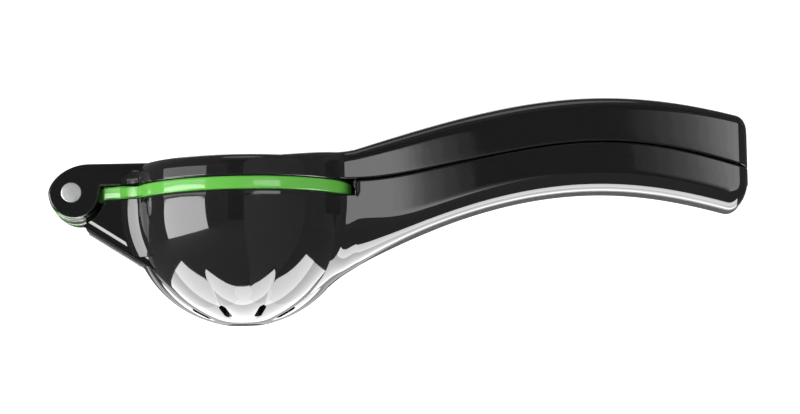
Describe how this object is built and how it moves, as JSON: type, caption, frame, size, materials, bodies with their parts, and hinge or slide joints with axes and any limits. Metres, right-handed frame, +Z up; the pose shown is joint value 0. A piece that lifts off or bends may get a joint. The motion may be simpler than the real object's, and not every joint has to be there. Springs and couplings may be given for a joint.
{
  "type": "hand-held citrus squeezer",
  "caption": "Hand-held citrus squeezer with three hinged leaves: a slotted bowl arm, a green strainer cup and a press arm with a domed press, with curved handles.",
  "frame": {"origin": "middle of the small flat foot under the bowl, with the squeezer closed", "axes": "+X from the hinge towards the handles' ends, +Z up out of the bowl along its axis, +Y across the handles"},
  "size_m": [0.2286, 0.074, 0.0716],
  "materials": {
    "gloss_black_enamel": "gloss",
    "green_enamel": "gloss",
    "polished_steel": "polished",
    "white_nylon": "matte",
    "black_rubber": "matte"
  },
  "bodies": {
    "lower_arm": {"lower_arm": "gloss_black_enamel", "lower_bush": "white_nylon", "handle_bumpers": "black_rubber"},
    "cup": {"middle_cup": "green_enamel", "near_cup_bush": "white_nylon", "far_cup_bush": "white_nylon"},
    "upper_arm": {"upper_arm": "gloss_black_enamel", "hinge_pin": "polished_steel", "near_outer_washer": "white_nylon", "near_inner_washer": "white_nylon", "far_inner_washer": "white_nylon", "far_outer_washer": "white_nylon"}
  },
  "joints": [
    {"name": "cup_hinge", "type": "hinge", "parent": "lower_arm", "child": "cup", "pos_m": [-0.0552, 0, 0.04301], "axis": [0, -1, 0], "range_deg": [0, 70]},
    {"name": "press_hinge", "type": "hinge", "parent": "cup", "child": "upper_arm", "pos_m": [-0.0552, 0, 0.04301], "axis": [0, -1, 0], "range_deg": [0, 80]}
  ]
}
